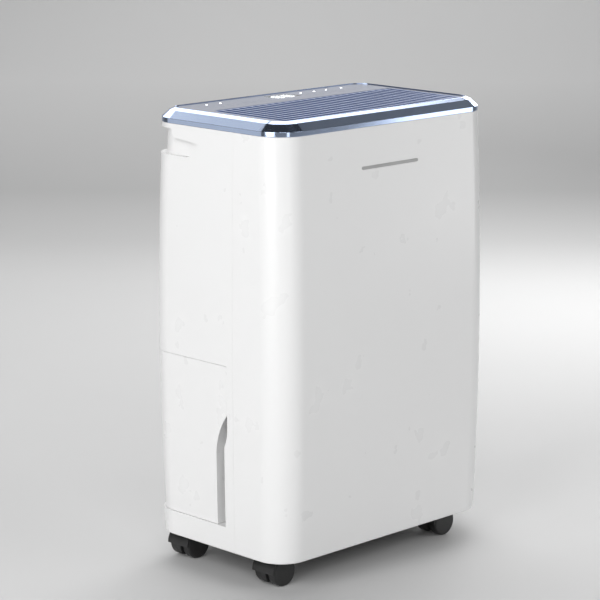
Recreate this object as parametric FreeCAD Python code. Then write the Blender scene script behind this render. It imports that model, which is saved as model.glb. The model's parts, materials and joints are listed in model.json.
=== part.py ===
import FreeCAD, Part
import math
import os
from FreeCAD import Vector

# Room dehumidifier on four twin-wheel casters, in millimetres.
# Origin: on the floor under the middle of the body. +X is the right side, -Y the front, +Z up.

# ---- driving dimensions -------------------------------------------------------------------
HEIGHT = 600.0            # floor to the top of the rim
WIDTH = 388.0             # across the sides, at the top
DEPTH = 240.0             # front to back, at the top
CORNER_R = 39.5           # upright corners, in plan
BODY_BOTTOM = 37.0        # lower edge of the white body
BODY_TOP = 582.5          # underside of the metallic rim
BELLY_Z = 290.0           # height at which the body is fullest
BELLY_HALF = 285.0        # height over which the swelling dies away
SIDE_BELLY = 3.1          # swelling of each side
FRONT_BELLY = 6.7         # swelling of the front and of the back
WALL = 3.0                # shell wall
EDGE_ROUND = 2.0          # rounding of the body's lower edge
GAP = 0.3                 # seam between neighbouring covers
FINE_GAP = 0.12           # tight seam between the front and the back cover
BIG = 400.0               # longer than any side of the body

SEAM_Y = -37.0            # front shell behind this plane, rear shell ahead of it

BAND_H = 6.0              # upright band of the rim
BEVEL_IN = 10.0           # rim bevel, inwards
BEVEL_TOP = 597.2
RIM_IN = 17.0             # rim width in plan
LEDGE_IN = 22.0           # the rim's inner ledge that carries the top plate
PLATE_TOP = 598.5
PLATE_T = 2.5

GRILLE_X0 = -162.0        # air outlet
GRILLE_X1 = 171.0
GRILLE_Y0 = -97.0
GRILLE_Y1 = 40.0
GRILLE_R = 16.0           # its corners
GRILLE_T = 6.0
SLOT_PITCH = 12.5
SLOT_W = 6.0
SLOT_COUNT = 26

KEY_Y = 66.0              # row of keys
KEY_XS = (-124.0, -98.0, -68.0, -40.0, 47.0, 71.0, 96.0, 126.0)
KEY_NAMES = ("power", "mode", "humidity_down", "humidity_up", "fan", "timer", "swing", "lock")
KEY_W = 16.0
KEY_D = 12.0
KEY_TRAVEL = 0.5
LIGHT_Y = 86.0            # row of indicator lights
LIGHT_XS = (-125.0, -101.0, 46.0, 71.0, 94.0, 123.0)
LIGHT_R = 1.6
DISPLAY_X = 6.0
DISPLAY_Y = 80.0
DISPLAY_W = 46.0
DISPLAY_D = 28.0
BOARD_Z = 588.0
BOARD_T = 1.6

TANK_TOP = 283.0          # seam above the water tank
TANK_GAP = 0.8            # width of that seam
TANK_BOTTOM = 69.5        # seam below the water tank
TANK_FRONT = -19.5        # front wall of the tank
TANK_WALL = 2.3
TANK_INSET_TOP = 1.2      # the tank's face stands a little inside the body's
TANK_INSET_BOTTOM = 2.4
STRIP_UPPER = -26.0       # rear edge of the side strip above the finger slot
STRIP_LOWER = -20.2       # and beside it
POCKET_X = 172.0          # inner end of the finger slots
POCKET_REAR = -3.0
POCKET_TOP = 220.0
LID_Z = 262.0
BAR_X = 67.0              # carrying bar on the lid, half length
FLOAT_X = -120.0
FLOAT_Y = -4.0            # the float's hinge pin
PIN_Z = LID_Z - 17.0
PIN_R = 1.5

CHANNEL_IN = 8.0          # depth of the carrying channel
CHANNEL_WALL = 2.5
LINER_FIT = 0.15          # between the channel's moulding and the cover round it
CHANNEL_FLOOR = 542.0
CHANNEL_CEILING = 576.0
CHANNEL_START = 29.5      # the channel's rounded front end
CHANNEL_END_Z = 556.0     # height of its foremost point
CHANNEL_END_Y = 54.0      # where the rounded end meets the floor
CHANNEL_LIP_Z = 561.0     # underside of the lip over the channel's front part
CHANNEL_STEP_Y = 78.0     # rear end of that lip
GRIP_X = 65.0             # deep grip in the middle of the back, half width
GRIP_FRONT = 98.0

INTAKE_X = 140.0          # air intake in the back, half width
INTAKE_Z0 = 312.0
INTAKE_Z1 = 522.0
GRILLE_BACK = 6.5         # rear face of the intake's bars, below the body's outside
LOUVRE_PITCH = 9.0
LOUVRE_T = 2.2

PORT_Z = 298.0            # drain and cord ports in the back
DRAIN_X = 100.0
CORD_X = -100.0
PORT_R = 10.5             # pocket round the drain's hose end
PORT_WALL = 1.5
PORT_FLOOR = 107.5        # bottom of that pocket
PORT_MOUTH = 130.0        # beyond the cover's outside
NIPPLE_R = 5.0
NIPPLE_END = 120.6
COLLAR_R = 5.6            # hose end's shoulder, behind the pocket
DRAIN_BORE_R = 3.0
CORD_R = 3.6
BUSH_R = 7.0              # cord bush, where it passes through the cover
SCREW_R = 2.0
SCREW_HEAD_R = 4.0

BASE_Z = 46.0             # underside of the base pan
BASE_T = 4.0
SOCKET_R = 9.0            # boss that takes a caster's stem
SOCKET_H = 17.0
RAIL_X = 90.0             # the two rails the tank slides on
STUD_R = 3.0              # studs that carry the compressor's feet
CASTER_XY = ((-152.5, -76.5), (152.5, -76.5), (-152.5, 85.1), (152.5, 85.1))
CASTER_NAMES = ("front_left", "front_right", "rear_left", "rear_right")
CASTER_TRAIL = 9.4
WHEEL_R = 19.0
WHEEL_W = 13.0
WHEEL_Y = 12.0
AXLE_R = 3.0
STEM_R = 4.0
RUN_FIT = 0.05            # radial clearance of a shaft in its hole

FAN_Z = 425.0
FAN_R = 82.0
FAN_Y0 = -50.0            # impeller, front and rear
FAN_Y1 = -6.0
SCROLL_Y0 = -56.0
SCROLL_Y1 = 4.0
SCROLL_WALL = 2.0
DUCT_Z = 552.5            # top of the fan housing, floor of the outlet duct
SHAFT_R = 4.0
BLADE_COUNT = 30
BLADE_R = 9.5             # a blade is part of a ring of this radius
BLADE_T = 1.5
FAN_RING_IN = 14.0        # width of the impeller's open-side ring
INLET_R = 64.0            # air inlet in the fan's cover

COIL_X = 120.0            # coils, half width over the fins
COIL_Z0 = 306.0
COIL_Z1 = 530.0
EVAPORATOR_Y = (74.0, 98.0)
CONDENSER_Y = (36.0, 60.0)
TUBE_R = 4.0
COIL_END = 124.0          # where the tubes leave the fins

COMPRESSOR_XY = (95.0, -70.0)
COMPRESSOR_R = 45.0
COMPRESSOR_Z0 = 61.0
COMPRESSOR_H = 180.0
FOOT_Z = 58.0             # underside of the compressor's feet
FOOT_HOLE_R = 3.4
ACCUMULATOR_XY = (162.0, -68.0)


# ---- small helpers ------------------------------------------------------------------------
def box(x0, x1, y0, y1, z0, z1):
    return Part.makeBox(x1 - x0, y1 - y0, z1 - z0, Vector(x0, y0, z0))


def rod(radius, start, direction, length):
    return Part.makeCylinder(radius, length, Vector(*start), Vector(*direction))


def fuse(shapes):
    first = shapes[0]
    if len(shapes) == 1:
        return first
    return first.multiFuse(shapes[1:]).removeSplitter()


def mirror_x(shape):
    return shape.mirror(Vector(0, 0, 0), Vector(1, 0, 0))


def both_sides(shape):
    return [shape, mirror_x(shape)]


def rounded_wire(x0, x1, y0, y1, radius, z):
    """Rectangle with rounded corners in the plane at height z."""
    k = radius * (1.0 - math.sqrt(0.5))
    corners = ((x1 - radius, y0, x1 - k, y0 + k, x1, y0 + radius),
               (x1, y1 - radius, x1 - k, y1 - k, x1 - radius, y1),
               (x0 + radius, y1, x0 + k, y1 - k, x0, y1 - radius),
               (x0, y0 + radius, x0 + k, y0 + k, x0 + radius, y0))
    edges = []
    last = Vector(x0 + radius, y0, z)
    for ax, ay, mx, my, bx, by in corners:
        start = Vector(ax, ay, z)
        end = Vector(bx, by, z)
        if (start - last).Length > 1e-6:
            edges.append(Part.LineSegment(last, start).toShape())
        edges.append(Part.Arc(start, Vector(mx, my, z), end).toShape())
        last = end
    if (last - edges[0].Vertexes[0].Point).Length > 1e-6:
        edges.append(Part.LineSegment(last, edges[0].Vertexes[0].Point).toShape())
    return Part.Wire(edges)


def rounded_block(x0, x1, y0, y1, radius, z0, z1):
    face = Part.Face(rounded_wire(x0, x1, y0, y1, radius, z0))
    return face.extrude(Vector(0, 0, z1 - z0))


def plan_wire(inset, z):
    """The body's outline at the top, moved inwards by inset."""
    half_w = WIDTH / 2 - inset
    half_d = DEPTH / 2 - inset
    return rounded_wire(-half_w, half_w, -half_d, half_d, CORNER_R - inset, z)


def plan_block(inset, z0, z1):
    return Part.Face(plan_wire(inset, z0)).extrude(Vector(0, 0, z1 - z0))


def swelling(amount, z):
    return amount * (1.0 - ((z - BELLY_Z) / BELLY_HALF) ** 2)


def side_slab(half, amount, inset0, inset1, z0, z1, across):
    """A slab with two swelling faces. across is the direction between the two faces."""
    run = Vector(across.y, across.x, 0)
    middle = (z0 + z1) / 2

    def point(sign, z):
        inset = inset0 + (inset1 - inset0) * (z - z0) / (z1 - z0)
        return across * (sign * (half + swelling(amount, z) - inset)) + Vector(0, 0, z) - run * (BIG / 2)

    left = Part.Arc(point(-1, z0), point(-1, middle), point(-1, z1)).toShape()
    right = Part.Arc(point(1, z1), point(1, middle), point(1, z0)).toShape()
    top = Part.LineSegment(point(-1, z1), point(1, z1)).toShape()
    bottom = Part.LineSegment(point(1, z0), point(-1, z0)).toShape()
    return Part.Face(Part.Wire([left, top, right, bottom])).extrude(run * BIG)


def barrel(inset0, z0=BODY_BOTTOM, z1=BODY_TOP, inset1=None):
    """The swelling body, moved inwards by inset0 at z0 and by inset1 at z1."""
    if inset1 is None:
        inset1 = inset0
    wide = side_slab(WIDTH / 2, SIDE_BELLY, inset0, inset1, z0, z1, Vector(1, 0, 0))
    deep = side_slab(DEPTH / 2, FRONT_BELLY, inset0, inset1, z0, z1, Vector(0, 1, 0))
    block = wide.common(deep)
    upright = [e for e in block.Edges if abs(e.Vertexes[0].Z - e.Vertexes[-1].Z) > (z1 - z0) / 2]
    return block.makeFillet(CORNER_R - max(inset0, inset1), upright)


def side_profile(edges, half=BIG / 2):
    """A closed outline in the side view (Y, Z), extruded across the whole width."""
    face = Part.Face(Part.Wire(edges))
    face.translate(Vector(-half, 0, 0))
    return face.extrude(Vector(2 * half, 0, 0))


def yz(y, z):
    return Vector(0, y, z)


def line(a, b):
    return Part.LineSegment(a, b).toShape()


def arc(a, b, c):
    return Part.Arc(a, b, c).toShape()


def tube_run(points, radius):
    """Round bar along straight runs, with a ball at every turn."""
    solids = []
    for a, b in zip(points[:-1], points[1:]):
        start = Vector(*a)
        run = Vector(*b) - start
        solids.append(Part.makeCylinder(radius, run.Length, start, run))
    for p in points[1:-1]:
        solids.append(Part.makeSphere(radius, Vector(*p)))
    return fuse(solids)


def export(node, shapes):
    solids = []
    for shape in shapes if isinstance(shapes, (list, tuple)) else [shapes]:
        solids.extend(shape.Solids)
    for solid in solids:
        if not solid.isValid():
            print("INVALID solid in", node)
    volume = sum(s.Volume for s in solids)
    print("%-26s solids %3d  volume %12.1f mm3" % (node, len(solids), volume))
    result = solids[0] if len(solids) == 1 else Part.makeCompound(solids)
    result.exportStep("parts/%s.step" % node)


# ---- body covers --------------------------------------------------------------------------
def body_skin():
    """The white skin between the rim and the lower edge, before it is parted."""
    outer = barrel(0.0, BODY_BOTTOM, BODY_TOP - GAP)
    lower = [e for e in outer.Edges if max(v.Z for v in e.Vertexes) < BODY_BOTTOM + 0.01]
    outer = outer.makeFillet(EDGE_ROUND, lower)
    inner = barrel(WALL, BODY_BOTTOM - 1, BODY_TOP + 1)
    return outer.cut(inner)


def badge_block(grow):
    half_w = 52.0 + grow
    half_h = 2.0 + grow
    middle_z = 531.0
    block = rounded_block(-half_w, half_w, -half_h, half_h, half_h - 0.01, 0.0, 40.0)
    block.rotate(Vector(0, 0, 0), Vector(1, 0, 0), 90)
    block.translate(Vector(0, -100, middle_z))
    return block


def badge():
    """Plain bar let into the front, with no lettering."""
    return badge_block(0.0).common(barrel(-0.3)).cut(barrel(0.9))


def front_shell(skin):
    shell = skin.common(box(-BIG, BIG, -BIG, SEAM_Y - FINE_GAP / 2, 0, HEIGHT))
    z0 = BASE_Z + BASE_T + 1
    z1 = BODY_TOP - 6
    core = barrel(WALL + 1.6, BODY_BOTTOM, BODY_TOP)
    root = barrel(WALL - 1.0).cut(core).common(box(-BIG, BIG, SEAM_Y - 8, SEAM_Y - 1, z0, z1))
    tongue = barrel(WALL + 0.15).cut(core).common(box(-BIG, BIG, SEAM_Y - 8, SEAM_Y + 4, z0, z1))
    return fuse([shell, root, tongue]).cut(badge_block(0.15).common(barrel(-5.0)).cut(barrel(1.0)))


def tank_bay():
    """What the rear shell leaves open for the tank, seen from the side."""
    top = TANK_TOP
    bottom = TANK_BOTTOM
    return side_profile([line(yz(BIG, top), yz(STRIP_UPPER, top)),
                         line(yz(STRIP_UPPER, top), yz(STRIP_UPPER, 200)),
                         arc(yz(STRIP_UPPER, 200), yz(-24.2, 187), yz(STRIP_LOWER, 176)),
                         line(yz(STRIP_LOWER, 176), yz(STRIP_LOWER, bottom)),
                         line(yz(STRIP_LOWER, bottom), yz(BIG, bottom)),
                         line(yz(BIG, bottom), yz(BIG, top))])


def channel_outline():
    """The carrying channel, seen from the side."""
    start = CHANNEL_START
    floor = CHANNEL_FLOOR
    end = CHANNEL_END_Y
    lip_y = CHANNEL_STEP_Y - 4
    lip_z = CHANNEL_LIP_Z + 4
    return side_profile([line(yz(BIG, floor), yz(end, floor)),
                         arc(yz(end, floor), yz(38, 546.2), yz(start, CHANNEL_END_Z)),
                         line(yz(start, CHANNEL_END_Z), yz(start + 1, CHANNEL_LIP_Z)),
                         line(yz(start + 1, CHANNEL_LIP_Z), yz(lip_y, lip_z)),
                         line(yz(lip_y, lip_z), yz(CHANNEL_STEP_Y, CHANNEL_CEILING)),
                         line(yz(CHANNEL_STEP_Y, CHANNEL_CEILING), yz(BIG, CHANNEL_CEILING)),
                         line(yz(BIG, CHANNEL_CEILING), yz(BIG, floor))])


def grip_block(grow):
    return box(-GRIP_X - grow, GRIP_X + grow, GRIP_FRONT - grow, DEPTH,
               CHANNEL_FLOOR + 3 - grow, CHANNEL_CEILING - 2 + grow)


def lip_zone(top):
    """Where the channel's moulding also forms the outside, above the channel's mouth."""
    return box(-BIG, BIG, CHANNEL_START + 1, BIG, CHANNEL_END_Z, top)


def channel_cells():
    """The moulding is put together from strips that meet face to face in these cells."""
    grip = GRIP_X + CHANNEL_WALL
    cells = [box(-BIG, BIG, -BIG, BIG, CHANNEL_FLOOR - 3, CHANNEL_FLOOR),
             box(-BIG, BIG, -BIG, BIG, CHANNEL_CEILING, HEIGHT)]
    for z0, z1, end in ((CHANNEL_FLOOR, CHANNEL_LIP_Z, CHANNEL_END_Y),
                        (CHANNEL_LIP_Z, CHANNEL_CEILING, CHANNEL_STEP_Y)):
        cells.append(box(-grip, grip, 0, BIG, z0, z1))
        cells.extend(both_sides(box(grip, BIG, 0, end, z0, z1)))
        cells.extend(both_sides(box(grip, BIG, end, BIG, z0, z1)))
    return cells


def carry_channel(skin):
    """Moulding that lines the carrying channel and its deep middle grip, with the lip above."""
    inner = barrel(CHANNEL_IN + CHANNEL_WALL, BODY_BOTTOM - 1, BODY_TOP + 1)
    roof = CHANNEL_CEILING + 3
    lining = barrel(WALL + LINER_FIT)
    ring = lining.cut(inner).common(box(-BIG, BIG, CHANNEL_START - 4, BIG, CHANNEL_FLOOR - 3, roof))
    grip = grip_block(CHANNEL_WALL).common(lining)
    lip = skin.common(lip_zone(HEIGHT))
    root = barrel(WALL - 1.0).cut(inner).common(lip_zone(roof))
    space = channel_outline().cut(barrel(CHANNEL_IN, BODY_BOTTOM - 1, BODY_TOP + 1))
    whole = fuse([ring, grip, lip, root]).cut(space).cut(grip_block(0.0))
    strips = []
    for cell in channel_cells():
        strips.extend(whole.common(cell).Solids)
    return strips


def port_sleeve(radius, y0):
    """Round bar along the drain port's axis, from y0 outwards."""
    return rod(radius, (DRAIN_X, y0, PORT_Z), (0, 1, 0), PORT_MOUTH - y0)


def rear_zone(z0, z1):
    return box(-BIG, BIG, SEAM_Y + FINE_GAP / 2, BIG, z0, z1)


def rear_shell(skin):
    """Back cover: upper part of the back and sides, with the strips in front of the tank."""
    shell = skin.common(rear_zone(TANK_BOTTOM, HEIGHT)).cut(tank_bay())
    sleeve = port_sleeve(PORT_R + PORT_WALL, PORT_FLOOR - 2).cut(port_sleeve(PORT_R, PORT_FLOOR))
    shell = fuse([shell.cut(port_sleeve(PORT_R, 95.0)), sleeve.common(barrel(0.5))])
    shell = shell.cut(channel_outline()).cut(lip_zone(HEIGHT))
    shell = shell.cut(box(-INTAKE_X, INTAKE_X, 60, BIG, INTAKE_Z0, INTAKE_Z1))
    shell = shell.cut(rod(COLLAR_R + 0.4, (DRAIN_X, 90, PORT_Z), (0, 1, 0), 20))
    shell = shell.cut(rod(BUSH_R + 0.2, (CORD_X, 90, PORT_Z), (0, 1, 0), 60))
    for x, z in screw_places():
        shell = shell.cut(rod(SCREW_R + 0.2, (x, 100, z), (0, 1, 0), 40))
        shell = shell.cut(rod(SCREW_HEAD_R + 0.2, (x, screw_face(z) - 1.6, z), (0, 1, 0), 20))
    return shell


def base_skirt(skin):
    """Lower band of the back and sides, with the ledges that close the finger slots."""
    band = skin.common(rear_zone(0, TANK_BOTTOM))
    ledge = box(POCKET_X - 6, BIG, STRIP_LOWER - 0.1, 2.0, TANK_BOTTOM - 3, TANK_BOTTOM - 0.2)
    return fuse([band] + both_sides(ledge.common(barrel(WALL - 1.0))))


def screw_places():
    return [(sx * 150.0, z) for sx in (-1, 1) for z in (302.0, 417.0, 532.0)]


def screw_face(z):
    return DEPTH / 2 + swelling(FRONT_BELLY, z)


def case_screws():
    """Cross-head screws that hold the back cover."""
    screws = []
    for x, z in screw_places():
        face = screw_face(z) - 0.4
        head = rod(SCREW_HEAD_R, (x, face - 1.1, z), (0, 1, 0), 1.1)
        shank = rod(SCREW_R, (x, face - 12.0, z), (0, 1, 0), 11.0)
        cross = box(x - 2.2, x + 2.2, face - 0.7, face + 1, z - 0.4, z + 0.4)
        upright = box(x - 0.4, x + 0.4, face - 0.7, face + 1, z - 2.2, z + 2.2)
        screws.append(fuse([head, shank]).cut(cross).cut(upright))
    return screws


# ---- base and tank bay --------------------------------------------------------------------
def base_pan():
    """Floor plate with caster sockets, tank rails and compressor studs."""
    plate = barrel(WALL + GAP, BASE_Z, BASE_Z + BASE_T)
    solids = [plate]
    for x, y in CASTER_XY:
        solids.append(rod(SOCKET_R, (x, y, BASE_Z), (0, 0, 1), SOCKET_H))
    for x in (-RAIL_X, RAIL_X):
        solids.append(box(x - 6, x + 6, -14, 112, BASE_Z, TANK_BOTTOM + 0.2))
    for x, y in compressor_feet():
        solids.append(rod(STUD_R, (x, y, BASE_Z), (0, 0, 1), 15.0))
    pan = fuse(solids)
    for x, y in CASTER_XY:
        pan = pan.cut(rod(STEM_R + RUN_FIT, (x, y, BASE_Z - 1), (0, 0, 1), SOCKET_H - 1))
    return pan


def bulkhead():
    """Upright wall between the machine space and the tank bay."""
    wall = box(-BIG, BIG, -22.5, -20.5, BASE_Z + BASE_T, TANK_TOP + 1).common(barrel(WALL + 2))
    notch = box(186.5, BIG, -30, 0, 170, BIG)
    for part in both_sides(notch):
        wall = wall.cut(part)
    return wall


def bay_ceiling():
    """Shelf over the tank, with the hole for the drip spout."""
    shelf = box(-BIG, BIG, -22.5, BIG, TANK_TOP + 1, TANK_TOP + 3).common(barrel(WALL + 2))
    return shelf.cut(rod(11.0, (0, 60, TANK_TOP), (0, 0, 1), 10))


def drip_tray():
    """Catches what drips off the cold coil and leads it to the tank and to the drain port."""
    z0 = TANK_TOP + 3.0
    outer = rounded_block(-130, 130, 24, 101, 8, z0, z0 + 18)
    inner = rounded_block(-128, 128, 26, 99, 6, z0 + 2, z0 + 30)
    spout = rod(10.0, (0, 60, TANK_TOP + 0.6), (0, 0, 1), 5.0)
    bore = rod(8.0, (0, 60, TANK_TOP), (0, 0, 1), 10.0)
    outlet = rod(NIPPLE_R + 2.0, (DRAIN_X, 90, PORT_Z - 2), (0, 1, 0), 12.5)
    way = rod(DRAIN_BORE_R, (DRAIN_X, 80, PORT_Z - 2), (0, 1, 0), 30)
    return fuse([outer.cut(inner), spout, outlet.cut(inner)]).cut(bore).cut(way)


def drain_nipple():
    """Hose end that stands in the round pocket in the back."""
    barb = fuse([rod(NIPPLE_R, (DRAIN_X, PORT_FLOOR - 1, PORT_Z), (0, 1, 0), NIPPLE_END - PORT_FLOOR + 1),
                 rod(COLLAR_R, (DRAIN_X, 102.6, PORT_Z), (0, 1, 0), PORT_FLOOR - 102.6)])
    return barb.cut(rod(DRAIN_BORE_R, (DRAIN_X, 100, PORT_Z), (0, 1, 0), 30))


def cord_gland():
    """Rubber bush for the supply cord."""
    bush = fuse([rod(BUSH_R, (CORD_X, 108, PORT_Z), (0, 1, 0), 18.0),
                 rod(BUSH_R + 2.5, (CORD_X, 118.5, PORT_Z), (0, 1, 0), 4.0)])
    return bush.cut(rod(CORD_R, (CORD_X, 100, PORT_Z), (0, 1, 0), 40))


# ---- water tank ---------------------------------------------------------------------------
def tank_hull(extra, z0, z1):
    """The tank's outside moved inwards by extra."""
    return barrel(TANK_INSET_BOTTOM + extra, z0, z1, TANK_INSET_TOP + extra)


def finger_pocket(grow):
    """Finger slot at the tank's front corner, on the right side, pointed at its top."""
    rear = POCKET_REAR + grow
    top = POCKET_TOP + grow
    outline = [line(yz(rear, TANK_BOTTOM - 10), yz(rear, 165)),
               arc(yz(rear, 165), yz(rear - 6.2, 193), yz(STRIP_UPPER + GAP, top)),
               line(yz(STRIP_UPPER + GAP, top), yz(-60, top)),
               line(yz(-60, top), yz(-60, TANK_BOTTOM - 10)),
               line(yz(-60, TANK_BOTTOM - 10), yz(rear, TANK_BOTTOM - 10))]
    face = Part.Face(Part.Wire(outline))
    face.translate(Vector(POCKET_X - grow, 0, 0))
    return face.extrude(Vector(BIG, 0, 0))


def tank_body():
    z0 = TANK_BOTTOM + GAP
    z1 = TANK_TOP - TANK_GAP
    hull = tank_hull(0.0, z0, z1)
    block = hull.common(box(-BIG, BIG, TANK_FRONT, BIG, z0, z1))
    edge = box(187, BIG, STRIP_UPPER + GAP, TANK_FRONT + 2, z0, z1)
    body = fuse([block] + [hull.common(side) for side in both_sides(edge)])
    hollow = tank_hull(TANK_WALL, z0 - 5, z1 + 5)
    hollow = hollow.common(box(-BIG, BIG, TANK_FRONT + TANK_WALL, BIG, z0 + TANK_WALL, z1 + 5))
    for pocket in both_sides(finger_pocket(TANK_WALL)):
        hollow = hollow.cut(pocket)
    for pocket in both_sides(finger_pocket(0.0)):
        body = body.cut(pocket)
    body = body.cut(hollow)
    ledges = []
    for sx in (-1, 1):
        for y in (10.0, 84.0):
            x0 = 183.0 if sx > 0 else -193.5
            ledges.append(box(x0, x0 + 10.5, y - 6, y + 6, LID_Z - 6, LID_Z - 0.2))
    return fuse([body] + ledges)


def tank_lid():
    """Splash cover with the drip inlet and a fixed carrying bar."""
    plate = tank_hull(TANK_WALL + 0.5, LID_Z - 20, LID_Z + 20)
    plate = plate.common(box(-BIG, BIG, TANK_FRONT + TANK_WALL + 0.5, BIG, LID_Z, LID_Z + 2.5))
    bar = box(-BAR_X, BAR_X, 14, 30, LID_Z + 13, LID_Z + 18)
    legs = both_sides(box(BAR_X - 10, BAR_X, 14, 30, LID_Z, LID_Z + 16))
    lugs = [box(x - 1.5, x + 1.5, -10, 2, LID_Z - 22, LID_Z) for x in (FLOAT_X - 14, FLOAT_X + 14)]
    lid = fuse([plate, bar] + legs + lugs)
    lid = lid.cut(rounded_block(-24, 24, 42, 78, 10, LID_Z - 5, LID_Z + 10))
    return lid.cut(rod(PIN_R + RUN_FIT, (FLOAT_X - 30, FLOAT_Y, PIN_Z), (1, 0, 0), 60))


def tank_float():
    """Float block on two arms, hinged under the lid."""
    pin = rod(PIN_R, (FLOAT_X - 16, FLOAT_Y, PIN_Z), (1, 0, 0), 32)
    arms = [box(x - 1.5, x + 1.5, -6, 26, PIN_Z - 2, PIN_Z + 2) for x in (FLOAT_X - 9, FLOAT_X + 9)]
    block = rounded_block(FLOAT_X - 14, FLOAT_X + 14, 20, 52, 5, PIN_Z - 25, PIN_Z + 4)
    return fuse([pin, block] + arms)


def tank_switch():
    """Reed switch on the bulkhead that the float's magnet closes."""
    return box(FLOAT_X - 12, FLOAT_X + 12, -30.5, -22.5, LID_Z - 26, LID_Z - 10)


# ---- rim, top plate, outlet ---------------------------------------------------------------
def top_bezel():
    rings = [plan_wire(0.0, BODY_TOP), plan_wire(0.0, BODY_TOP + BAND_H),
             plan_wire(BEVEL_IN, BEVEL_TOP), plan_wire(RIM_IN, HEIGHT)]
    frame = Part.makeLoft(rings, True, True)
    ledge_z = PLATE_TOP - PLATE_T
    frame = frame.cut(plan_block(WALL, BODY_TOP - 1, BODY_TOP + 6.5))
    frame = frame.cut(plan_block(LEDGE_IN, BODY_TOP - 1, ledge_z + 1))
    return frame.cut(plan_block(RIM_IN, ledge_z, HEIGHT + 5))


def outlet_block(inset, z0, z1):
    """The air outlet's outline, moved inwards by inset."""
    return rounded_block(GRILLE_X0 + inset, GRILLE_X1 - inset, GRILLE_Y0 + inset, GRILLE_Y1 - inset,
                         GRILLE_R - inset, z0, z1)


def control_fascia():
    """Satin top plate with the outlet, the keys, the display and the lights."""
    z0 = PLATE_TOP - PLATE_T
    plate = plan_block(RIM_IN + 0.15, z0, PLATE_TOP)
    plate = plate.cut(outlet_block(0.0, z0 - 1, HEIGHT + 5))
    for x in KEY_XS:
        plate = plate.cut(key_block(x, 0.25, z0 - 1, HEIGHT + 5))
    for x in LIGHT_XS:
        plate = plate.cut(rod(LIGHT_R + 0.1, (x, LIGHT_Y, z0 - 1), (0, 0, 1), 10))
    return plate.cut(window_block(0.15, z0 - 1, HEIGHT + 5))


def outlet_grille():
    """Long slots running front to back, with rounded ends."""
    z1 = PLATE_TOP - 0.3
    z0 = z1 - GRILLE_T
    plate = outlet_block(0.2, z0, z1)
    middle = (GRILLE_X0 + GRILLE_X1) / 2
    slots = []
    for i in range(SLOT_COUNT):
        x = middle + (i - (SLOT_COUNT - 1) / 2) * SLOT_PITCH
        slots.append(rounded_block(x - SLOT_W / 2, x + SLOT_W / 2, GRILLE_Y0 + 4, GRILLE_Y1 - 4,
                                   SLOT_W / 2 - 0.01, z0 - 1, z1 + 1))
    return plate.cut(Part.makeCompound(slots))


def outlet_duct():
    """Open box between the fan's throat and the outlet grille."""
    z0 = DUCT_Z
    z1 = PLATE_TOP - 0.3 - GRILLE_T - 0.2
    outer = outlet_block(2.0, z0, z1)
    inner = outlet_block(4.0, z0 + 2, z1 + 5)
    return outer.cut(inner).cut(throat_block(0.5, z0 - 5, z0 + 5))


# ---- control strip ------------------------------------------------------------------------
def key_block(x, grow, z0, z1):
    half_w = KEY_W / 2 + grow
    half_d = KEY_D / 2 + grow
    return rounded_block(x - half_w, x + half_w, KEY_Y - half_d, KEY_Y + half_d, 3.0 + grow, z0, z1)


def key(x):
    """Flush key cap with a retaining flange and a plunger."""
    cap = key_block(x, 0.0, PLATE_TOP - 3.6, PLATE_TOP)
    flange = key_block(x, 1.0, PLATE_TOP - 3.6, PLATE_TOP - PLATE_T - 0.15)
    plunger = rod(2.5, (x, KEY_Y, PLATE_TOP - 5.0), (0, 0, 1), 2.0)
    return fuse([cap, flange, plunger])


def window_block(grow, z0, z1):
    half_w = DISPLAY_W / 2 + grow
    half_d = DISPLAY_D / 2 + grow
    return rounded_block(DISPLAY_X - half_w, DISPLAY_X + half_w, DISPLAY_Y - half_d,
                         DISPLAY_Y + half_d, 3.0 + grow, z0, z1)


def display_digits():
    """Two figures of seven bars each, all lit."""
    z0 = PLATE_TOP - 2.3
    z1 = PLATE_TOP - 1.6
    half_w = 5.0
    half_h = 9.0
    thick = 1.2
    bars = []
    for cx in (DISPLAY_X - 9.0, DISPLAY_X + 9.0):
        for y in (-half_h, 0.0, half_h):
            bars.append(box(cx - half_w + 1.6, cx + half_w - 1.6, DISPLAY_Y + y - thick,
                            DISPLAY_Y + y + thick, z0, z1))
        for sx in (-1, 1):
            for y0, y1 in ((-half_h + 1.6, -1.6), (1.6, half_h - 1.6)):
                bars.append(box(cx + sx * half_w - thick, cx + sx * half_w + thick,
                                DISPLAY_Y + y0, DISPLAY_Y + y1, z0, z1))
    return bars


def indicator_lights():
    z0 = BOARD_Z + BOARD_T
    return [rod(LIGHT_R, (x, LIGHT_Y, z0), (0, 0, 1), PLATE_TOP - z0) for x in LIGHT_XS]


def control_board():
    """Circuit board with the display's case on it."""
    board = box(-150, 150, 52, 95, BOARD_Z, BOARD_Z + BOARD_T)
    return fuse([board, window_block(-1.0, BOARD_Z + BOARD_T, PLATE_TOP - 2.3)])


def key_switches():
    z0 = BOARD_Z + BOARD_T
    switches = []
    for x in KEY_XS:
        case = box(x - 3, x + 3, KEY_Y - 3, KEY_Y + 3, z0, z0 + 2.4)
        switches.append(fuse([case, rod(1.6, (x, KEY_Y, z0 + 2.3), (0, 0, 1), 0.9)]))
    return switches


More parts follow.
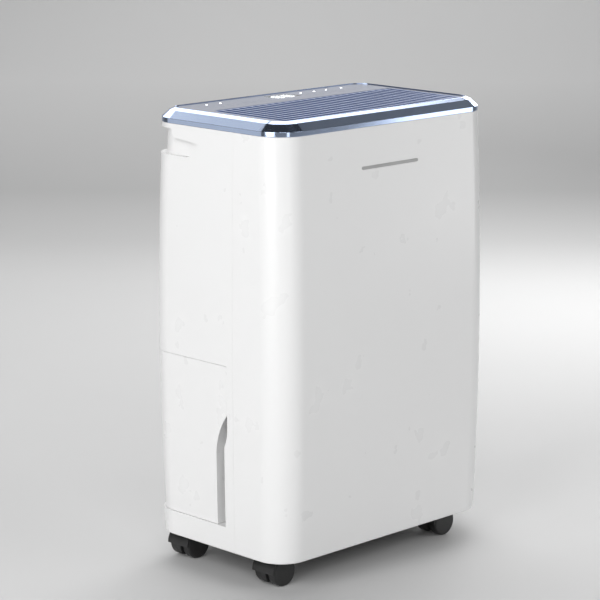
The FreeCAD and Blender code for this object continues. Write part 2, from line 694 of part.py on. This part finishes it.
# ---- air path -----------------------------------------------------------------------------
def louvre_grid():
    x1 = INTAKE_X - GAP
    z0 = INTAKE_Z0 + GAP
    z1 = INTAKE_Z1 - GAP
    bars = [box(-x1, x1, 90, DEPTH, z0, z0 + 7), box(-x1, x1, 90, DEPTH, z1 - 7, z1),
            box(-x1, -x1 + 7, 90, DEPTH, z0, z1), box(x1 - 7, x1, 90, DEPTH, z0, z1)]
    count = int((z1 - z0 - 14) / LOUVRE_PITCH)
    for i in range(1, count + 1):
        z = z0 + 7 + (z1 - z0 - 14) * i / (count + 1)
        bars.append(box(-x1 + 3, x1 - 3, 90, DEPTH, z - LOUVRE_T / 2, z + LOUVRE_T / 2))
    for x in (-66.0, 0.0, 66.0):
        bars.append(box(x - 1.5, x + 1.5, 90, DEPTH, z0 + 3, z1 - 3))
    return fuse(bars)


def intake_grille():
    return louvre_grid().common(barrel(0.8).cut(barrel(GRILLE_BACK)))


def filter_frame():
    outer = box(-134, 134, 108, 113, INTAKE_Z0 + 6, INTAKE_Z1 - 6)
    inner = box(-128, 128, 100, 120, INTAKE_Z0 + 12, INTAKE_Z1 - 12)
    bars = [outer.cut(inner)]
    for x in (-43.0, 43.0):
        bars.append(box(x - 1.5, x + 1.5, 109.2, 113, INTAKE_Z0 + 9, INTAKE_Z1 - 9))
    hooks = [box(x - 8, x + 8, 112, 125, z, z + 4) for x in (-90.0, 90.0)
             for z in (INTAKE_Z0 + 6, INTAKE_Z1 - 10)]
    return fuse(bars + hooks).common(barrel(GRILLE_BACK + GAP))


def filter_mesh():
    return box(-128, 128, 108.2, 109.0, INTAKE_Z0 + 12, INTAKE_Z1 - 12)


def coil_rows(y_range):
    """Tube centres of one coil: two staggered columns."""
    y0, y1 = y_range
    quarter = (y1 - y0) / 4
    rows = 7
    step = (COIL_Z1 - COIL_Z0) / rows
    places = []
    for i in range(rows):
        z = COIL_Z0 + step * (i + 0.5)
        places.append((y0 + quarter, z - step / 8))
        places.append((y1 - quarter, z + step / 8))
    return places


def coil_fins(y_range, count):
    holes = [Part.Wire(Part.makeCircle(TUBE_R + 0.02, Vector(0, y, z), Vector(1, 0, 0)))
             for y, z in coil_rows(y_range)]
    y0, y1 = y_range
    edge = Part.makePolygon([Vector(0, y0, COIL_Z0), Vector(0, y1, COIL_Z0), Vector(0, y1, COIL_Z1),
                             Vector(0, y0, COIL_Z1), Vector(0, y0, COIL_Z0)])
    face = Part.Face(edge)
    for hole in holes:
        face = face.cut(Part.Face(hole))
    face = face.Faces[0]
    fins = []
    for i in range(count):
        fin = face.copy()
        thick = 1.5 if i in (0, count - 1) else 0.6
        fin.translate(Vector(-COIL_X + (2 * COIL_X - thick) * i / (count - 1), 0, 0))
        fins.append(fin.extrude(Vector(thick, 0, 0)))
    return fins


def coil_tubes(y_range):
    """One long tube that passes through the fins again and again, with round return bends."""
    places = coil_rows(y_range)
    solids = [rod(TUBE_R, (-COIL_END, y, z), (1, 0, 0), 2 * COIL_END) for y, z in places]
    for i, (a, b) in enumerate(zip(places[:-1], places[1:])):
        side = -1 if i % 2 == 0 else 1
        start = Vector(side * COIL_END, *a)
        end = Vector(side * COIL_END, *b)
        disc = Part.Face(Part.Wire(Part.makeCircle(TUBE_R, start, Vector(1, 0, 0))))
        solids.append(disc.revolve((start + end) / 2, Vector(side, 0, 0).cross(end - start), 180))
    return fuse(solids)


def scroll_block(grow, y0, y1, top):
    """The fan's spiral passage with its upright throat, moved out by grow."""
    step = 8.0
    first = FAN_R + 8.0 + grow
    lip = math.degrees(math.acos(-grow / first))
    quarters = ((-step / 2, -step / 2, first, lip, 180.0),
                (step / 2, -step / 2, first + step, 180.0, 270.0),
                (step / 2, step / 2, first + 2 * step, 270.0, 360.0))
    edges = []
    for cx, cz, radius, start, end in quarters:
        points = []
        for degrees in (start, (start + end) / 2, end):
            a = math.radians(degrees)
            points.append(Vector(cx + radius * math.cos(a), y0, FAN_Z + cz + radius * math.sin(a)))
        edges.append(arc(*points))
    begin = edges[0].Vertexes[0].Point
    right = edges[-1].Vertexes[-1].Point
    top_right = Vector(right.x, y0, top)
    top_left = Vector(begin.x, y0, top)
    edges += [line(right, top_right), line(top_right, top_left), line(top_left, begin)]
    return Part.Face(Part.Wire(edges)).extrude(Vector(0, y1 - y0, 0))


def throat_block(grow, z0, z1):
    """Upright channel from the spiral to the duct."""
    return box(-4.0 - grow, FAN_R + 28.0 + grow, SCROLL_Y0 + SCROLL_WALL - grow, SCROLL_Y1 + grow, z0, z1)


def fan_scroll():
    """Spiral housing, open to the rear, where its cover closes it."""
    wall = SCROLL_WALL
    body = scroll_block(wall, SCROLL_Y0, SCROLL_Y1, DUCT_Z - 0.2)
    body = body.cut(scroll_block(0.0, SCROLL_Y0 + wall, SCROLL_Y1 + 5, DUCT_Z + 5))
    return body.cut(rod(9.0, (0, SCROLL_Y0 - 5, FAN_Z), (0, 1, 0), 20))


def fan_scroll_cover():
    """Plate with a flared inlet ring, facing the coils."""
    plate = scroll_block(SCROLL_WALL, SCROLL_Y1, SCROLL_Y1 + 2, DUCT_Z - 0.2)
    hole = rod(INLET_R, (0, SCROLL_Y1 - 1, FAN_Z), (0, 1, 0), 10)
    ring = rod(INLET_R + 2, (0, SCROLL_Y1, FAN_Z), (0, 1, 0), 6)
    return fuse([plate, ring]).cut(hole)


def fan_blade():
    """One forward-curved blade, part of a thin ring."""
    outer = Part.makeCylinder(BLADE_R, FAN_Y1 - FAN_Y0 - 1, Vector(0, 0, 0), Vector(0, 1, 0))
    inner = Part.makeCylinder(BLADE_R - BLADE_T, BIG, Vector(0, -1, 0), Vector(0, 1, 0))
    blade = outer.cut(inner).common(box(-20, 20, -1, BIG, 0, 20))
    blade.translate(Vector(FAN_R - BLADE_R - 0.1, FAN_Y0 + 0.5, FAN_Z - 2))
    return blade


def fan_impeller():
    """Forward-curved blades between a back disc and a ring."""
    width = FAN_Y1 - FAN_Y0
    disc = rod(FAN_R, (0, FAN_Y0, FAN_Z), (0, 1, 0), 2.0)
    ring = rod(FAN_R, (0, FAN_Y1 - 3, FAN_Z), (0, 1, 0), 3.0)
    ring = ring.cut(rod(FAN_R - FAN_RING_IN, (0, FAN_Y1 - 4, FAN_Z), (0, 1, 0), 5))
    hub = rod(10.0, (0, FAN_Y0, FAN_Z), (0, 1, 0), 22.0)
    blades = []
    for i in range(BLADE_COUNT):
        turned = fan_blade()
        turned.rotate(Vector(0, 0, FAN_Z), Vector(0, 1, 0), 360.0 * i / BLADE_COUNT)
        blades.append(turned)
    wheel = fuse([disc, ring, hub] + blades).common(rod(FAN_R, (0, FAN_Y0, FAN_Z), (0, 1, 0), width))
    return wheel.cut(rod(SHAFT_R + 0.02, (0, FAN_Y0 - 5, FAN_Z), (0, 1, 0), width + 20))


def fan_shaft():
    return rod(SHAFT_R, (0, FAN_Y0 - 50, FAN_Z), (0, 1, 0), 74.0)


def fan_motor():
    length = 44.0
    y0 = SCROLL_Y0 - length
    can = rod(42.0, (0, y0, FAN_Z), (0, 1, 0), length - 0.2)
    can = can.makeFillet(4.0, [e for e in can.Edges if len(e.Vertexes) == 1])
    return can.cut(rod(SHAFT_R + RUN_FIT, (0, y0 - 5, FAN_Z), (0, 1, 0), length + 10))


# ---- cooling circuit ----------------------------------------------------------------------
def compressor_feet():
    cx, cy = COMPRESSOR_XY
    return [(cx + dx, cy + dy) for dx, dy in ((-50.0, -32.0), (50.0, -32.0), (0.0, 38.0))]


def compressor():
    cx, cy = COMPRESSOR_XY
    shell = rod(COMPRESSOR_R, (cx, cy, COMPRESSOR_Z0), (0, 0, 1), COMPRESSOR_H)
    shell = shell.makeFillet(18.0, [e for e in shell.Edges if len(e.Vertexes) == 1])
    plate = rod(24.0, (cx, cy, FOOT_Z), (0, 0, 1), 5.0)
    front_arm = box(cx - 57, cx + 57, cy - 38, cy - 26, FOOT_Z, COMPRESSOR_Z0)
    rear_arm = box(cx - 7, cx + 7, cy, cy + 46, FOOT_Z, COMPRESSOR_Z0)
    terminal = rod(7.0, (cx - 12, cy, COMPRESSOR_Z0 + COMPRESSOR_H - 2), (0, 0, 1), 10.0)
    body = fuse([shell, plate, terminal, front_arm, rear_arm])
    for x, y in compressor_feet():
        body = body.cut(rod(FOOT_HOLE_R, (x, y, 50), (0, 0, 1), 12))
    return body


def compressor_grommets():
    base = BASE_Z + BASE_T
    rings = []
    for x, y in compressor_feet():
        ring = rod(6.5, (x, y, base), (0, 0, 1), FOOT_Z - base)
        rings.append(ring.cut(rod(STUD_R + 0.05, (x, y, base - 1), (0, 0, 1), 12)))
    return rings


def discharge_pipe():
    """Hot line from the compressor to the condenser's upper end."""
    cx, cy = COMPRESSOR_XY
    y, z = coil_rows(CONDENSER_Y)[-1]
    return tube_run([(cx + 10, cy, 241.2), (cx + 10, cy, 268), (138, cy, 268), (138, cy, 540),
                     (138, y, 540), (138, y, z), (COIL_END, y, z)], 3.5)


def suction_pipe():
    """Return line from the evaporator with its accumulator bottle beside the compressor."""
    ax, ay = ACCUMULATOR_XY
    y, z = coil_rows(EVAPORATOR_Y)[0]
    bottle = rod(17.0, (ax, ay, 96.0), (0, 0, 1), 110.0)
    bottle = bottle.makeFillet(8.0, [e for e in bottle.Edges if len(e.Vertexes) == 1])
    line_out = tube_run([(ax, ay, 204), (ax, ay, 292), (174, ay, 292), (174, -30, z), (174, y, z),
                         (COIL_END, y, z)], 4.5)
    return fuse([bottle, line_out])


def filter_drier():
    """Drier bottle and the thin capillary line from condenser to evaporator."""
    y0, z0 = coil_rows(CONDENSER_Y)[0]
    y1, z1 = coil_rows(EVAPORATOR_Y)[-1]
    bottle = rod(9.0, (152, y0, z0 + 12), (0, 0, 1), 60.0)
    inlet = tube_run([(COIL_END, y0, z0), (152, y0, z0), (152, y0, z0 + 13)], 2.5)
    outlet = tube_run([(152, y0, z0 + 71), (152, y0, 470), (152, y1, 470), (152, y1, z1),
                       (COIL_END, y1, z1)], 1.6)
    return fuse([bottle, inlet, outlet])


# ---- casters ------------------------------------------------------------------------------
def caster_fork(x, y):
    """Hood, web between the wheels and the stem that turns in the base."""
    ax = x - CASTER_TRAIL
    hood = rod(WHEEL_R + 3.4, (ax, y - 19, WHEEL_R), (0, 1, 0), 38.0)
    hood = hood.cut(rod(WHEEL_R + 1.2, (ax, y - 20, WHEEL_R), (0, 1, 0), 40.0))
    hood = hood.common(box(ax - 40, ax + 3, y - 20, y + 20, WHEEL_R, 60))
    web = rod(WHEEL_R + 2.5, (ax, y - 4.6, WHEEL_R), (0, 1, 0), 9.2)
    web = web.common(box(ax - 40, ax + 14, y - 10, y + 10, 8.0, 60))
    neck = rod(7.5, (x, y, 34.0), (0, 0, 1), 8.5)
    neck = neck.common(box(x - 20, x + 20, y - 20, y + 20, 20, 60))
    neck = neck.cut(rod(WHEEL_R + 1.0, (ax, y - 20, WHEEL_R), (0, 1, 0), 15.4))
    neck = neck.cut(rod(WHEEL_R + 1.0, (ax, y + 4.6, WHEEL_R), (0, 1, 0), 15.4))
    stem = rod(STEM_R, (x, y, 38.0), (0, 0, 1), 22.0)
    axle = rod(AXLE_R, (ax, y - 17.0, WHEEL_R), (0, 1, 0), 34.0)
    return fuse([hood, web, neck, stem, axle])


def caster_wheel(x, y, side):
    """One of the two wheels of a caster. side is -1 at the front of the axle, +1 at its rear."""
    ax = x - CASTER_TRAIL
    middle = y + side * WHEEL_Y
    wheel = rod(WHEEL_R, (ax, middle - WHEEL_W / 2, WHEEL_R), (0, 1, 0), WHEEL_W)
    wheel = wheel.makeFillet(2.5, [e for e in wheel.Edges if len(e.Vertexes) == 1])
    bore_start = y if side > 0 else y - 17.2
    return wheel.cut(rod(AXLE_R + RUN_FIT, (ax, bore_start, WHEEL_R), (0, 1, 0), 17.2))


# ---- export -------------------------------------------------------------------------------
def main():
    os.makedirs("parts", exist_ok=True)
    skin = body_skin()
    export("front_shell", front_shell(skin))
    export("rear_shell", rear_shell(skin))
    export("base_skirt", base_skirt(skin))
    export("carry_channel", carry_channel(skin))
    export("badge", badge())
    export("case_screws", case_screws())
    export("base_pan", base_pan())
    export("bulkhead", bulkhead())
    export("bay_ceiling", bay_ceiling())
    export("drip_tray", drip_tray())
    export("drain_nipple", drain_nipple())
    export("cord_gland", cord_gland())
    export("tank_body", tank_body())
    export("tank_lid", tank_lid())
    export("tank_float", tank_float())
    export("tank_switch", tank_switch())
    export("top_bezel", top_bezel())
    export("control_fascia", control_fascia())
    export("outlet_grille", outlet_grille())
    export("outlet_duct", outlet_duct())
    for name, x in zip(KEY_NAMES, KEY_XS):
        export("key_" + name, key(x))
    export("display_window", window_block(0.0, PLATE_TOP - 1.5, PLATE_TOP))
    export("display_digits", display_digits())
    export("indicator_lights", indicator_lights())
    export("control_board", control_board())
    export("key_switches", key_switches())
    export("intake_grille", intake_grille())
    export("filter_frame", filter_frame())
    export("filter_mesh", filter_mesh())
    export("evaporator_fins", coil_fins(EVAPORATOR_Y, 41))
    export("evaporator_tubes", coil_tubes(EVAPORATOR_Y))
    export("condenser_fins", coil_fins(CONDENSER_Y, 41))
    export("condenser_tubes", coil_tubes(CONDENSER_Y))
    export("fan_scroll", fan_scroll())
    export("fan_scroll_cover", fan_scroll_cover())
    export("fan_impeller", fan_impeller())
    export("fan_shaft", fan_shaft())
    export("fan_motor", fan_motor())
    export("compressor", compressor())
    export("compressor_grommets", compressor_grommets())
    export("refrigerant_pipes", [discharge_pipe(), suction_pipe(), filter_drier()])
    for name, (x, y) in zip(CASTER_NAMES, CASTER_XY):
        export("caster_fork_" + name, caster_fork(x, y))
        export("caster_wheel_%s_a" % name, caster_wheel(x, y, -1))
        export("caster_wheel_%s_b" % name, caster_wheel(x, y, 1))


main()
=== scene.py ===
import json
import math

import bpy
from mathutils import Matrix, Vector


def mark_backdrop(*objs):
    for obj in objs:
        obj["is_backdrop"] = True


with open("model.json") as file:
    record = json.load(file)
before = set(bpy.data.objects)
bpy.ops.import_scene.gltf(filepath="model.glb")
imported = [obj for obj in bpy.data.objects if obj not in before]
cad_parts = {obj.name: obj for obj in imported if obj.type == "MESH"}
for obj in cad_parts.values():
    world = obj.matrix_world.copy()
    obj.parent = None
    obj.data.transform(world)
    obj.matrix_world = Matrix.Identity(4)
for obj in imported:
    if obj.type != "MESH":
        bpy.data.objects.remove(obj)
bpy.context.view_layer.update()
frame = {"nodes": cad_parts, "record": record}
nodes = frame["nodes"]

MM = 0.001

# ---- camera: place in metres, line of sight, lens and sensor in millimetres --------------------
CAMERA_AT = (-2.2270, -2.2047, 1.0141)
SIGHT = (0.6882, 0.6940, -0.2117)
LENS_MM = 145.41
SENSOR_MM = 36.0

# ---- backdrop, in metres, measured along the line of sight from the object's middle -------------
FLOOR_FRONT = -6.0
FLOOR_END = 1.7
SWEEP_RADIUS = 1.6
SWEEP_STEPS = 24
WALL_TOP = 7.0
HALF_WIDTH = 7.0
# painted shade on the backdrop: height above the floor and grey value there, darkest low on the sweep
PAINTED_SHADE_BY_HEIGHT = ((0.0, 0.58), (0.03, 0.50), (0.10, 0.42), (0.3, 0.56))


# ---- node helpers ----------------------------------------------------------------------------
class Material:
    """A Principled material with the few nodes that the finishes here share."""

    def __init__(self, name, **sockets):
        self.material = bpy.data.materials.new(name)
        self.material.use_nodes = True
        self.tree = self.material.node_tree
        self.shader = self.tree.nodes["Principled BSDF"]
        for socket, value in sockets.items():
            self.set(socket.replace("_", " "), value)
        self.coordinates = self.add("ShaderNodeTexCoord").outputs["Object"]

    def set(self, socket, value):
        """Sets a plain value on the shader; a colour gets its alpha."""
        target = self.shader.inputs[socket]
        if hasattr(target.default_value, "__len__") and len(value) == 3:
            value = (*value, 1.0)
        target.default_value = value

    def add(self, kind, **settings):
        node = self.tree.nodes.new(kind)
        for key, value in settings.items():
            setattr(node, key, value)
        return node

    def link(self, source, target):
        self.tree.links.new(source, target)

    def stretched(self, scale):
        """Object coordinates multiplied along X, Y and Z."""
        mapping = self.add("ShaderNodeMapping")
        mapping.inputs["Scale"].default_value = scale
        self.link(self.coordinates, mapping.inputs["Vector"])
        return mapping.outputs["Vector"]

    def noise(self, scale, detail=3.0, stretch=None):
        node = self.add("ShaderNodeTexNoise")
        node.inputs["Scale"].default_value = scale
        node.inputs["Detail"].default_value = detail
        self.link(self.stretched(stretch) if stretch else self.coordinates, node.inputs["Vector"])
        return node.outputs["Fac"]

    def ramp(self, factor, stops):
        """Colours a 0 to 1 factor by stops of place and colour."""
        node = self.add("ShaderNodeValToRGB")
        elements = node.color_ramp.elements
        while len(elements) < len(stops):
            elements.new(0.5)
        for element, (place, colour) in zip(elements, stops):
            element.position = place
            element.color = (*colour, 1.0)
        self.link(factor, node.inputs["Fac"])
        return node.outputs["Color"]

    def spread(self, factor, low, high):
        """Maps a 0 to 1 factor to the range low to high."""
        node = self.add("ShaderNodeMapRange")
        node.inputs["To Min"].default_value = low
        node.inputs["To Max"].default_value = high
        self.link(factor, node.inputs["Value"])
        return node.outputs["Result"]

    def colour(self, output):
        self.link(output, self.shader.inputs["Base Color"])

    def roughness(self, output):
        self.link(output, self.shader.inputs["Roughness"])

    def bump(self, height, strength, distance, edge=0.0):
        """Fine relief; edge is the radius over which sharp edges look rounded off."""
        node = self.add("ShaderNodeBump")
        if edge:
            rounding = self.add("ShaderNodeBevel", samples=6)
            rounding.inputs["Radius"].default_value = edge
            self.link(rounding.outputs["Normal"], node.inputs["Normal"])
        node.inputs["Strength"].default_value = strength
        node.inputs["Distance"].default_value = distance
        self.link(height, node.inputs["Height"])
        self.link(node.outputs["Normal"], self.shader.inputs["Normal"])


def grey(value):
    return (value, value, value)


def between(low, high):
    """Ramp stops from one colour to another over the middle of a noise's range."""
    return ((0.3, low), (0.7, high))


# ---- finishes --------------------------------------------------------------------------------
def white_plastic():
    """Glossy moulded cover: faint cloudiness and a very shallow orange peel."""
    m = Material("white_plastic", Specular_IOR_Level=0.5, Coat_Weight=0.2, Coat_Roughness=0.15)
    m.colour(m.ramp(m.noise(9.0, 6.0), between((0.814, 0.814, 0.812), (0.819, 0.819, 0.818))))
    m.roughness(m.spread(m.noise(25.0, 3.0), 0.26, 0.30))
    m.bump(m.noise(420.0, 2.0), 0.03, 0.0001)
    return m.material


def rim_metal():
    """Blue-tinted polished metal with faint drawn lines along the rim."""
    m = Material("rim_metal", Metallic=1.0)
    m.colour(m.ramp(m.noise(14.0), between((0.53, 0.64, 0.86), (0.58, 0.69, 0.92))))
    m.roughness(m.spread(m.noise(60.0, 4.0, (1.0, 1.0, 30.0)), 0.09, 0.15))
    m.bump(m.noise(300.0, 2.0, (1.0, 1.0, 12.0)), 0.03, 0.0002, 0.7 * MM)
    return m.material


def satin_plate():
    """Satin grey lacquer with a fine metallic grain."""
    m = Material("satin_plate", Metallic=0.55)
    m.colour(m.ramp(m.noise(900.0, 2.0), between((0.14, 0.155, 0.205), (0.165, 0.18, 0.23))))
    m.roughness(m.spread(m.noise(160.0, 3.0), 0.38, 0.48))
    m.bump(m.noise(1400.0, 2.0), 0.08, 0.0001)
    return m.material


def blue_grille():
    """Satin blue lacquer on the outlet's bars, with a slightly uneven sheen."""
    m = Material("blue_grille", Metallic=0.5)
    m.colour(m.ramp(m.noise(30.0, 4.0), between((0.050, 0.098, 0.25), (0.070, 0.122, 0.29))))
    m.roughness(m.spread(m.noise(120.0, 4.0), 0.30, 0.42))
    m.bump(m.noise(900.0, 2.0), 0.06, 0.0001, 0.5 * MM)
    return m.material


def moulded(name, dark, light, rough=(0.45, 0.6), grain=700.0):
    """Plain moulded plastic with a fine spark-eroded grain."""
    m = Material(name)
    m.colour(m.ramp(m.noise(40.0, 4.0), between(dark, light)))
    m.roughness(m.spread(m.noise(90.0, 4.0), *rough))
    m.bump(m.noise(grain, 3.0), 0.12, 0.0002)
    return m.material


def metal(name, dark, light, rough=(0.25, 0.4), stretch=(1.0, 1.0, 20.0)):
    """Bare metal with drawn or turned marks."""
    m = Material(name, Metallic=1.0)
    m.colour(m.ramp(m.noise(25.0, 4.0), between(dark, light)))
    m.roughness(m.spread(m.noise(120.0, 4.0, stretch), *rough))
    m.bump(m.noise(500.0, 2.0, stretch), 0.05, 0.0001)
    return m.material


def lit_white():
    """Lit figures and lights, a little uneven in brightness."""
    m = Material("lit_white", Base_Color=grey(0.9), Roughness=0.4)
    glow = m.spread(m.noise(300.0, 1.0), 5.5, 7.0)
    m.set("Emission Color", (0.95, 0.97, 1.0))
    m.link(glow, m.shader.inputs["Emission Strength"])
    return m.material


def display_glass():
    """Clear, faintly blue window over the figures."""
    m = Material("display_glass", Roughness=0.08, Transmission_Weight=0.9, IOR=1.45)
    m.colour(m.ramp(m.noise(60.0), between((0.80, 0.82, 0.86), (0.86, 0.88, 0.92))))
    return m.material


def filter_cloth():
    """Woven mesh: crossing threads from two wave textures."""
    m = Material("filter_cloth", Roughness=0.8)
    waves = []
    for direction in ("X", "Z"):
        wave = m.add("ShaderNodeTexWave", bands_direction=direction)
        wave.inputs["Scale"].default_value = 160.0
        m.link(m.coordinates, wave.inputs["Vector"])
        waves.append(wave.outputs["Fac"])
    weave = m.add("ShaderNodeMath", operation="MAXIMUM")
    m.link(waves[0], weave.inputs[0])
    m.link(waves[1], weave.inputs[1])
    m.colour(m.ramp(weave.outputs["Value"], between(grey(0.015), grey(0.10))))
    m.bump(weave.outputs["Value"], 0.5, 0.0004)
    return m.material


FINISHES = {
    "white_plastic": white_plastic(),
    "rim_metal": rim_metal(),
    "satin_plate": satin_plate(),
    "blue_grille": blue_grille(),
    "badge_grey": metal("badge_grey", grey(0.42), grey(0.50), (0.45, 0.55), (20.0, 1.0, 1.0)),
    "steel": metal("steel", grey(0.50), grey(0.62)),
    "aluminium": metal("aluminium", grey(0.70), grey(0.80), (0.3, 0.45)),
    "copper": metal("copper", (0.55, 0.24, 0.13), (0.72, 0.36, 0.20), (0.2, 0.4)),
    "black_metal": moulded("black_metal", grey(0.012), grey(0.022), (0.25, 0.4), 300.0),
    "dark_plastic": moulded("dark_plastic", grey(0.018), grey(0.030)),
    "caster_black": moulded("caster_black", grey(0.012), grey(0.024), (0.35, 0.5), 500.0),
    "grey_plastic": moulded("grey_plastic", grey(0.42), grey(0.48)),
    "foam_white": moulded("foam_white", grey(0.70), grey(0.80), (0.7, 0.9), 900.0),
    "rubber": moulded("rubber", grey(0.012), grey(0.020), (0.6, 0.8)),
    "board_green": moulded("board_green", (0.006, 0.07, 0.03), (0.010, 0.11, 0.05), (0.3, 0.4)),
    "filter_cloth": filter_cloth(),
    "lit_white": lit_white(),
    "display_glass": display_glass(),
}


def dress(record):
    """Gives every node the finish that its material slot names."""
    for part in record["subparts"]:
        obj = nodes[part["node"]]
        obj.data.materials.clear()
        obj.data.materials.append(FINISHES[part["material_slot"]])


dress(frame["record"])


# ---- stage -----------------------------------------------------------------------------------
def backdrop():
    """Seamless floor and wall, square to the camera."""
    back = Vector((SIGHT[0], SIGHT[1], 0.0)).normalized()
    side = Vector((back.y, -back.x, 0.0))
    profile = [(FLOOR_FRONT, 0.0)]
    for i in range(SWEEP_STEPS + 1):
        angle = math.radians(90.0 * i / SWEEP_STEPS)
        profile.append((FLOOR_END + SWEEP_RADIUS * math.sin(angle), SWEEP_RADIUS * (1.0 - math.cos(angle))))
    profile.append((FLOOR_END + SWEEP_RADIUS, WALL_TOP))
    points = []
    for along, height in profile:
        for across in (-HALF_WIDTH, HALF_WIDTH):
            points.append(back * along + side * across + Vector((0.0, 0.0, height)))
    faces = [(2 * i, 2 * i + 1, 2 * i + 3, 2 * i + 2) for i in range(len(profile) - 1)]
    mesh = bpy.data.meshes.new("backdrop")
    mesh.from_pydata(points, [], faces)
    mesh.polygons.foreach_set("use_smooth", [True] * len(faces))
    obj = bpy.data.objects.new("backdrop", mesh)
    bpy.context.scene.collection.objects.link(obj)
    obj.data.materials.append(backdrop_paper())
    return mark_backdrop(obj)


def backdrop_paper():
    """Matt grey with painted shade by height, darkest low on the sweep, and faintly mottled."""
    m = Material("backdrop", Specular_IOR_Level=0.2)
    height = m.add("ShaderNodeSeparateXYZ")
    m.link(m.coordinates, height.inputs["Vector"])
    # painted shade: the paper's grey darkens low on the sweep and is lighter on the floor and above
    painted_shade = m.ramp(height.outputs["Z"], [(place, grey(value)) for place, value in PAINTED_SHADE_BY_HEIGHT])
    mottle = m.add("ShaderNodeMix", data_type="RGBA", blend_type="MULTIPLY")
    mottle.inputs["Factor"].default_value = 1.0
    m.link(painted_shade, mottle.inputs["A"])
    m.link(m.ramp(m.noise(1.5), between(grey(0.98), grey(1.0))), mottle.inputs["B"])
    m.colour(mottle.outputs["Result"])
    m.roughness(m.spread(m.noise(4.0), 0.65, 0.75))
    return m.material


def softbox(name, at, aim, size, power):
    """A white rectangular light that faces the point it is aimed at."""
    data = bpy.data.lights.new(name, "AREA")
    data.shape = "RECTANGLE"
    data.size, data.size_y = size
    data.energy = power
    obj = bpy.data.objects.new(name, data)
    obj.location = at
    obj.rotation_euler = (Vector(aim) - Vector(at)).to_track_quat("-Z", "Y").to_euler()
    bpy.context.scene.collection.objects.link(obj)


# name: place, aim, width and height of the box, power in watts
SOFTBOXES = {
    "left_box": ((-2.6, -0.4, 1.3), (0.0, 0.0, 0.3), (1.8, 2.4), 57.0),
    "front_box": ((1.7, -3.6, 2.2), (0.0, 0.0, 0.3), (2.4, 2.0), 34.0),
    "corner_strip": ((-0.75, -2.1, 0.35), (0.0, 0.0, 0.35), (0.35, 0.7), 1.0),
    "back_box": ((0.9, 2.3, 1.95), (0.0, 0.0, 0.6), (3.0, 1.4), 26.0),
    "back_card": ((-0.85, 2.1, 2.8), (-0.2, 0.0, 0.6), (1.4, 1.0), 3.0),
    "top_box": ((1.0, 0.9, 3.2), (0.5, 0.4, 0.0), (2.0, 1.8), 30.0),
    "facet_card": ((2.8, 1.3, 3.2), (0.3, 0.0, 0.6), (1.2, 1.0), 7.0),
    "bevel_card": ((3.1, -0.6, 3.2), (0.0, 0.0, 0.6), (1.2, 1.2), 0.45),
    "right_card": ((2.0, -1.45, 0.6), (0.0, 0.0, 0.5), (0.8, 1.2), 6.0),
    "left_card": ((-2.0, 1.75, 0.35), (0.0, 0.0, 0.5), (1.6, 0.5), 1.3),
    "floor_box": ((1.7, 0.6, 1.0), (0.6, 0.0, 0.0), (1.0, 0.8), 13.0),
    "camera_box": ((-2.2, -2.9, 2.4), (0.0, 0.0, 0.3), (2.0, 2.0), 49.0),
}
ROOM_COLOUR = (0.92, 0.96, 1.0, 1.0)
ROOM_STRENGTH = 0.04


def studio():
    """All the soft boxes and a dim, slightly blue room."""
    for name, (at, aim, size, power) in SOFTBOXES.items():
        softbox(name, at, aim, size, power)
    world = bpy.data.worlds.new("room")
    world.use_nodes = True
    background = world.node_tree.nodes["Background"]
    background.inputs["Color"].default_value = ROOM_COLOUR
    background.inputs["Strength"].default_value = ROOM_STRENGTH
    bpy.context.scene.world = world


def camera():
    """The camera at the photo's angle."""
    data = bpy.data.cameras.new("camera")
    data.lens = LENS_MM
    data.sensor_width = SENSOR_MM
    obj = bpy.data.objects.new("camera", data)
    obj.location = CAMERA_AT
    obj.rotation_euler = Vector(SIGHT).to_track_quat("-Z", "Y").to_euler()
    bpy.context.scene.collection.objects.link(obj)
    bpy.context.scene.camera = obj


backdrop()
studio()
camera()
bpy.context.scene.view_settings.view_transform = "Standard"
